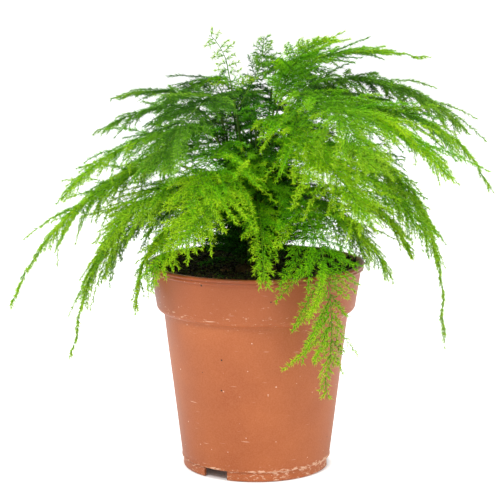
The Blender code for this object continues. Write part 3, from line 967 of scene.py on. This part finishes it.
def leaf_grading():
    """Colour along each needle, with shade painted at its root, and the twigs' own colour, from the place in
    the colour map.
    """
    inputs = [(label, "NodeSocketColor", None) for label in ("Needle", "Twig", "Root Shade")]
    tree, nodes, given, made = new_group("leaf grading", inputs, [("Color", "NodeSocketColor", None)])
    _, rise = tint_and_rise(nodes)
    # Painted shade: each needle's colour is multiplied by Root Shade near its root, fading out towards its
    # tip.
    out_of_root_shade = nodes.ramp(rise, greys((0.15, 0), (0.5, 1)))
    tip = nodes.ramp(rise, [(0.45, (1, 1, 1, 1)), (0.97, (1, 1, 0.75, 1))])
    shade = nodes.mix(out_of_root_shade, given["Root Shade"], tip)
    needle = nodes.mix(1.0, given["Needle"], shade, "MULTIPLY")
    is_needle = nodes.math("GREATER_THAN", rise, 0.1)
    nodes.link(nodes.mix(is_needle, given["Twig"], needle), made["Color"])
    return tree


def foliage_material(name, needle_stops, twig_stops):
    """Needles and twigs, coloured by their place in the colour map, with shade painted at the needles' roots.
    """
    material, nodes, shader = new_material(name, 0.50)
    tint, _ = tint_and_rise(nodes)
    grading = nodes.node("ShaderNodeGroup", node_tree=LEAF_GRADING)
    nodes.link(nodes.ramp(tint, srgb_stops(needle_stops)), grading.inputs["Needle"])
    nodes.link(nodes.ramp(tint, srgb_stops(twig_stops)), grading.inputs["Twig"])
    grading.inputs["Root Shade"].default_value = ROOT_SHADE
    nodes.link(grading.outputs["Color"], shader.inputs["Base Color"])
    nodes.link(nodes.ramp(tint, greys((0.0, 0.62), (1.0, 0.44))), shader.inputs["Roughness"])
    shader.inputs["Specular IOR Level"].default_value = 0.14
    return material


LEAF_GRADING = leaf_grading()
# The painted shade at the needles' roots, multiplied into their colour.
ROOT_SHADE = (0.42, 0.48, 0.40, 1)

# Colours by tint, as (tint, red, green, blue) from 0 to 255.
LEAVES = {
    "leaf_lime": [
        (0.0, 32, 84, 4), (0.25, 70, 156, 0), (0.55, 116, 202, 0),
        (0.8, 142, 220, 4), (1.0, 198, 240, 32),
    ],
    "leaf_mid": [
        (0.0, 24, 62, 8), (0.25, 60, 126, 12), (0.55, 112, 186, 14),
        (0.8, 142, 212, 22), (1.0, 190, 234, 46),
    ],
    "leaf_deep": [
        (0.0, 18, 48, 12), (0.25, 50, 102, 22), (0.55, 92, 156, 32),
        (0.8, 128, 192, 42), (1.0, 168, 216, 66),
    ],
}
TWIGS = [(0.0, 50, 66, 18), (0.4, 78, 120, 20), (1.0, 132, 186, 36)]
SHOOTS = [(0.0, 10, 34, 8), (0.25, 30, 82, 12), (0.55, 88, 182, 6), (1.0, 140, 216, 20)]
STEM_BARK = [(0.0, 58, 60, 26), (0.5, 66, 92, 30), (1.0, 110, 140, 50)]
LITTER = [
    (0.0, 14, 11, 9),
    (0.25, 30, 23, 18),
    (0.45, 58, 42, 28),
    (0.70, 122, 96, 62),
    (0.75, 96, 92, 40),
    (0.85, 70, 116, 28),
    (1.0, 110, 160, 30),
]


def crumbly_surface():
    """Noise for crumbs of peat or bark: a value to colour by, and the bumps."""
    inputs = [
        ("Scale", "NodeSocketFloat", 300.0),
        ("Depth", "NodeSocketFloat", 0.0008),
    ]
    outputs = [("Crumbs", "NodeSocketFloat", None), ("Normal", "NodeSocketVector", None)]
    tree, nodes, given, made = new_group("crumbly surface", inputs, outputs)
    place = nodes.node("ShaderNodeTexCoord").outputs["Object"]
    grit = nodes.node("ShaderNodeTexNoise")
    nodes.link(place, grit.inputs["Vector"])
    nodes.link(given["Scale"], grit.inputs["Scale"])
    grit.inputs["Detail"].default_value = 6.0
    grit.inputs["Roughness"].default_value = 0.7
    bump = nodes.node("ShaderNodeBump")
    bump.inputs["Strength"].default_value = 0.8
    nodes.link(given["Depth"], bump.inputs["Distance"])
    nodes.link(grit.outputs["Fac"], bump.inputs["Height"])
    nodes.link(grit.outputs["Fac"], made["Crumbs"])
    nodes.link(bump.outputs[0], made["Normal"])
    return tree


def earth_material(name, stops, scale, depth):
    """Crumbly peat or bark: dark, rough, with lighter flecks."""
    material, nodes, shader = new_material(name, 0.92)
    surface = nodes.node("ShaderNodeGroup", node_tree=CRUMBLY_SURFACE)
    surface.inputs["Scale"].default_value = scale
    surface.inputs["Depth"].default_value = depth
    nodes.link(nodes.ramp(surface.outputs["Crumbs"], srgb_stops(stops)), shader.inputs["Base Color"])
    nodes.link(surface.outputs["Normal"], shader.inputs["Normal"])
    shader.inputs["Specular IOR Level"].default_value = 0.2
    return material


def dots(nodes, place, scale, radius, share):
    """Scattered round dots: the share of the cells of this scale that hold one."""
    cells = nodes.node("ShaderNodeTexVoronoi")
    nodes.link(place, cells.inputs["Vector"])
    cells.inputs["Scale"].default_value = scale
    chance = nodes.split(cells.outputs["Color"], "Color")
    chosen = nodes.math("GREATER_THAN", chance["Red"], 1 - share)
    size = nodes.math("MULTIPLY", chance["Green"], radius)
    inside = nodes.math("LESS_THAN", cells.outputs["Distance"], size)
    return nodes.math("MULTIPLY", chosen, inside)


def specks(nodes, place, *kinds):
    """Dots of two kinds together, each kind given as the scale, radius and share of its dots."""
    first, second = (dots(nodes, place, *kind) for kind in kinds)
    return nodes.math("ADD", first, second, clamp=True)


def stretched(nodes, place, scale, turn=(0, 0, 0)):
    """The place turned and scaled, so that noise on it comes out stretched."""
    mapping = nodes.node("ShaderNodeMapping")
    mapping.inputs["Rotation"].default_value = turn
    mapping.inputs["Scale"].default_value = scale
    nodes.link(place, mapping.inputs["Vector"])
    return mapping.outputs[0]


def scuffs(nodes, place, level):
    """Worn, whitened plastic: at the foot and the notches, and along the edges of collar and lip."""
    wear = nodes.ramp(level, greys(*WEAR_BY_LEVEL))
    patch = nodes.noise(place, 34, 2, 0.5)
    broken = nodes.noise(stretched(nodes, place, (1, 1, 2.2)), 330, 4, 0.7)
    worn = nodes.math("ADD", broken, nodes.math("MULTIPLY", wear, nodes.math("MULTIPLY", patch, 0.42)))
    worn = nodes.ramp(worn, greys((0.655, 0), (0.73, 1)))
    return nodes.math("MULTIPLY", worn, nodes.ramp(wear, greys((0.02, 0), (0.2, 0.62))))


def scratches(nodes, place):
    """Fine scratches that slant across the wall."""
    scratch = nodes.noise(stretched(nodes, place, (0.35, 0.35, 5), (0.25, 0.35, 0)), 260, 1, 0.4)
    return nodes.ramp(scratch, greys((0.755, 0), (0.82, 0.6)))


def dark_inner_wall(nodes, place, height, level):
    """Dark patches on the inside of the wall above the soil, denser further down."""
    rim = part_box("grower_pot")[1]
    across = nodes.node("ShaderNodeVectorMath", operation="LENGTH")
    nodes.link(stretched(nodes, place, (1, 1, 0)), across.inputs[0])
    lean = COLLAR_TAPER / COLLAR_HEIGHT
    mid_wall = rim.x - LIP_OVERHANG - WALL / 2 - rim.z * lean
    slack = nodes.math("SUBTRACT", across.outputs["Value"], nodes.math("MULTIPLY", height, lean))
    inside = nodes.math("LESS_THAN", slack, mid_wall)
    fading = nodes.ramp(level, greys((0.95, 0.5), (0.995, 0.06)))
    inner_dark = nodes.math("ADD", nodes.noise(place, 190, 5, 0.7), fading)
    inner_dark = nodes.math("MULTIPLY", nodes.ramp(inner_dark, greys((0.52, 0), (0.64, 1))), inside)
    return nodes.math("MULTIPLY", inner_dark, nodes.math("GREATER_THAN", level, 0.9))


def plastic_material():
    """Satin terracotta-coloured plastic with scuffs, pale specks, soil specks and a fine moulded grain."""
    material, nodes, shader = new_material("terracotta_plastic", 0.42)
    place = nodes.node("ShaderNodeTexCoord").outputs["Object"]
    height = nodes.split(place)["Z"]
    level = nodes.math("DIVIDE", height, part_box("grower_pot")[1].z)
    mottle = nodes.noise(place, 22, 4, 0.55)
    colour = nodes.ramp(mottle, srgb_stops(POT_MOTTLE))
    grain = nodes.noise(place, 1300, 2, 0.5)
    colour = nodes.mix(0.05, colour, nodes.ramp(grain, srgb_stops(POT_GRAIN)))

    # The collar is a little darker than the wall below it, and the lip darker again.
    collar = nodes.ramp(level, greys((0.76, 0), (0.80, 0.30), (0.95, 0.42)))
    colour = nodes.mix(collar, colour, POT_LIP)
    lip = nodes.ramp(level, greys((0.966, 0), (0.974, 1)))
    colour = nodes.mix(nodes.math("MULTIPLY", lip, 0.45), colour, POT_LIP)

    scuff = scuffs(nodes, place, level)
    colour = nodes.mix(scuff, colour, SCUFF)
    colour = nodes.mix(scratches(nodes, place), colour, SCRATCH)
    pale = specks(nodes, place, (460, 0.20, 0.06), (190, 0.07, 0.04))
    colour = nodes.mix(nodes.math("MULTIPLY", pale, 0.62), colour, PALE_SPECK)
    dirt = specks(nodes, place, (380, 0.30, 0.025), (130, 0.09, 0.03))
    colour = nodes.mix(nodes.math("MULTIPLY", dirt, 0.9), colour, DIRT_SPECK)

    # Dark patches inside the wall, and a smear of peat on the lip.
    inner_dark = dark_inner_wall(nodes, place, height, level)
    colour = nodes.mix(inner_dark, colour, INNER_WALL_DARK)
    smear = nodes.ramp(nodes.noise(place, 300, 5, 0.75), greys((0.60, 0), (0.68, 0.8)))
    colour = nodes.mix(nodes.math("MULTIPLY", smear, lip), colour, PEAT_SMEAR)
    nodes.link(colour, shader.inputs["Base Color"])

    rough = nodes.math("ADD", nodes.math("MULTIPLY", mottle, 0.22), 0.34)
    rough = nodes.math("ADD", rough, nodes.math("MULTIPLY", scuff, 0.25))
    rough = nodes.math("ADD", rough, nodes.math("MULTIPLY", inner_dark, 0.4))
    rough = nodes.math("SUBTRACT", rough, nodes.math("MULTIPLY", lip, 0.14))
    nodes.link(rough, shader.inputs["Roughness"])
    bump = nodes.node("ShaderNodeBump")
    bump.inputs["Strength"].default_value = 0.12
    bump.inputs["Distance"].default_value = 0.0003
    relief = nodes.math("ADD", nodes.math("MULTIPLY", grain, 0.4), nodes.math("MULTIPLY", scuff, 0.5))
    relief = nodes.math("ADD", relief, nodes.math("MULTIPLY", nodes.math("ADD", dirt, inner_dark), 1.2))
    nodes.link(relief, bump.inputs["Height"])
    nodes.link(bump.outputs[0], shader.inputs["Normal"])
    shader.inputs["Specular IOR Level"].default_value = 0.32
    return material


CRUMBLY_SURFACE = crumbly_surface()
POT_MOTTLE = [(0.32, 158, 81, 38), (0.5, 166, 88, 43), (0.70, 175, 96, 50)]
POT_GRAIN = [(0.35, 120, 50, 20), (0.65, 250, 190, 150)]
POT_LIP = srgb(140, 66, 32)
SCUFF = srgb(234, 196, 166)
SCRATCH = srgb(238, 200, 172)
PALE_SPECK = srgb(242, 214, 190)
DIRT_SPECK = srgb(46, 30, 18)
INNER_WALL_DARK = srgb(30, 22, 15)
PEAT_SMEAR = srgb(70, 44, 26)
PEAT = [(0.30, 24, 22, 12), (0.50, 60, 58, 28), (0.62, 98, 106, 44), (0.74, 146, 136, 86)]
BARK = [(0.30, 44, 32, 18), (0.55, 88, 68, 38), (0.75, 130, 104, 64)]

# How worn the pot is by level, from its foot at 0 to its rim at 1.
WEAR_BY_LEVEL = [
    (0.0, 0.46), (0.038, 0.50), (0.046, 0.88), (0.054, 0.90), (0.062, 0.22), (0.10, 0.05), (0.70, 0.0),
    (0.765, 0.20), (0.80, 0.34), (0.83, 0.12), (0.955, 0.05), (0.972, 0.16), (1.0, 0.14),
]


# ---- camera and studio

CAMERA_PLACE = (0, -1.0, 0.2902)
CAMERA_LOOKS_DOWN = 0.1674  # radians
SENSOR_WIDTH = 36  # mm, as is the lens
LENS = 131.68
LENS_SHIFT = -0.012

# How bright the surroundings and the floor light the plant, and how bright the floor looks.
SKY = 0.64
FLOOR_GLOW = 0.34
FLOOR_SEEN_GLOW = 0.62

# The floor's glow by distance from the pot's axis: a painted shadow under the pot, plain outside it.
PAINTED_SHADOW_BY_REACH = [(0.032, 0.03), (0.0405, 0.10), (0.0425, 1)]

# Each light's name, place, what it points at, size and energy.
LIGHTS = [
    ("key", (-0.6, -0.9, 1.2), (0, 0, 0.14), 0.5, 13),
    ("fill", (0.9, -0.8, 0.6), (0, 0, 0.12), 0.8, 4),
    ("top", (0.1, 0.2, 1.3), (0, 0, 0.15), 0.8, 7),
]


def make_camera():
    """The camera of the front view."""
    camera = bpy.data.objects.new("camera", bpy.data.cameras.new("camera"))
    camera.location = CAMERA_PLACE
    camera.rotation_euler = (math.radians(90) - CAMERA_LOOKS_DOWN, 0, 0)
    camera.data.sensor_width = SENSOR_WIDTH
    camera.data.lens = LENS
    camera.data.shift_x = LENS_SHIFT
    camera.data.clip_start = 0.05
    camera.data.clip_end = 60
    bpy.context.scene.collection.objects.link(camera)
    bpy.context.scene.camera = camera


def area_light(name, place, aim, size, energy):
    """A round soft light that points at a place."""
    light = bpy.data.objects.new(name, bpy.data.lights.new(name, "AREA"))
    light.data.shape = "DISK"
    light.data.size = size
    light.data.energy = energy
    light.location = place
    light.rotation_euler = (Vector(aim) - Vector(place)).to_track_quat("-Z", "Y").to_euler()
    bpy.context.scene.collection.objects.link(light)


def brighter_seen(nodes, lit, seen):
    """The strength that lights the plant, and another one where the camera sees the surface itself."""
    camera_ray = nodes.node("ShaderNodeLightPath").outputs["Is Camera Ray"]
    return nodes.math("MULTIPLY_ADD", camera_ray, seen - lit, lit)


def make_studio():
    """A plain white floor, darkened only by a shadow painted under the pot, white surroundings and three soft
    lights.
    """
    bpy.ops.mesh.primitive_plane_add(size=40, location=(0, 0, -0.0002))
    floor = bpy.context.object
    floor.name = "floor"
    material, nodes, shader = new_material("white_card", 0.9)
    shader.inputs["Base Color"].default_value = (0.9, 0.9, 0.9, 1)
    shader.inputs["Emission Color"].default_value = (1, 1, 1, 1)
    glow = brighter_seen(nodes, FLOOR_GLOW, FLOOR_SEEN_GLOW)
    across = nodes.node("ShaderNodeVectorMath", operation="LENGTH")
    nodes.link(nodes.node("ShaderNodeTexCoord").outputs["Object"], across.inputs[0])
    # Painted shadow: the floor's glow fades to almost nothing under the pot.
    outside_painted_shadow = nodes.ramp(across.outputs["Value"], greys(*PAINTED_SHADOW_BY_REACH))
    nodes.link(nodes.math("MULTIPLY", glow, outside_painted_shadow), shader.inputs["Emission Strength"])
    floor.data.materials.append(material)

    world = bpy.data.worlds.new("studio")
    bpy.context.scene.world = world
    world.use_nodes = True
    nodes = Nodes(world.node_tree)
    background = world.node_tree.nodes["Background"]
    background.inputs["Color"].default_value = (1, 1, 1, 1)
    nodes.link(brighter_seen(nodes, SKY, 1.0), background.inputs["Strength"])
    for row in LIGHTS:
        area_light(*row)
    bpy.context.scene.view_settings.view_transform = "Standard"


# ---- putting it together


def finish_piece(piece, node):
    """Says which body a piece rides on, which CAD node it replaces."""
    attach(piece, "root")
    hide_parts(node)


make_camera()
make_studio()

SLOT_OF = {row["node"]: row["material_slot"] for row in frame["record"]["subparts"]}
materials = {name: foliage_material(name, stops, TWIGS) for name, stops in LEAVES.items()}
stem_names = sorted(name for name in frame["nodes"] if name.startswith("stem_"))
crown_top = np.array([[0, 0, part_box("root_crown")[1].z]])
stem_lines = {name: midline(name, crown_top, degree=4)[1] for name in stem_names}
all_stems = np.concatenate(list(stem_lines.values()))

for order, node in enumerate(sorted(n for n in frame["nodes"] if n.startswith("frond_"))):
    piece = grow_frond(node[6:], np.random.default_rng(100 + order), materials[SLOT_OF[node]], all_stems)
    finish_piece(piece, node)

shoot_material = foliage_material("stem_green", SHOOTS, STEM_BARK)
for order, node in enumerate(stem_names):
    piece = grow_stem(node[5:], np.random.default_rng(300 + order), shoot_material, stem_lines[node])
    finish_piece(piece, node)
finish_piece(make_crown(earth_material("crown_bark", BARK, 260, 0.0008)), "root_crown")
soil, soil_top, soil_pocket, soil_edge = make_soil(earth_material("peat", PEAT, 420, 0.0010))
finish_piece(soil, "potting_soil")
litter = make_litter(foliage_material("peat_litter", LITTER, LITTER), soil_top, soil_pocket, soil_edge)
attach(litter, "root")
finish_piece(make_pot(plastic_material()), "grower_pot")
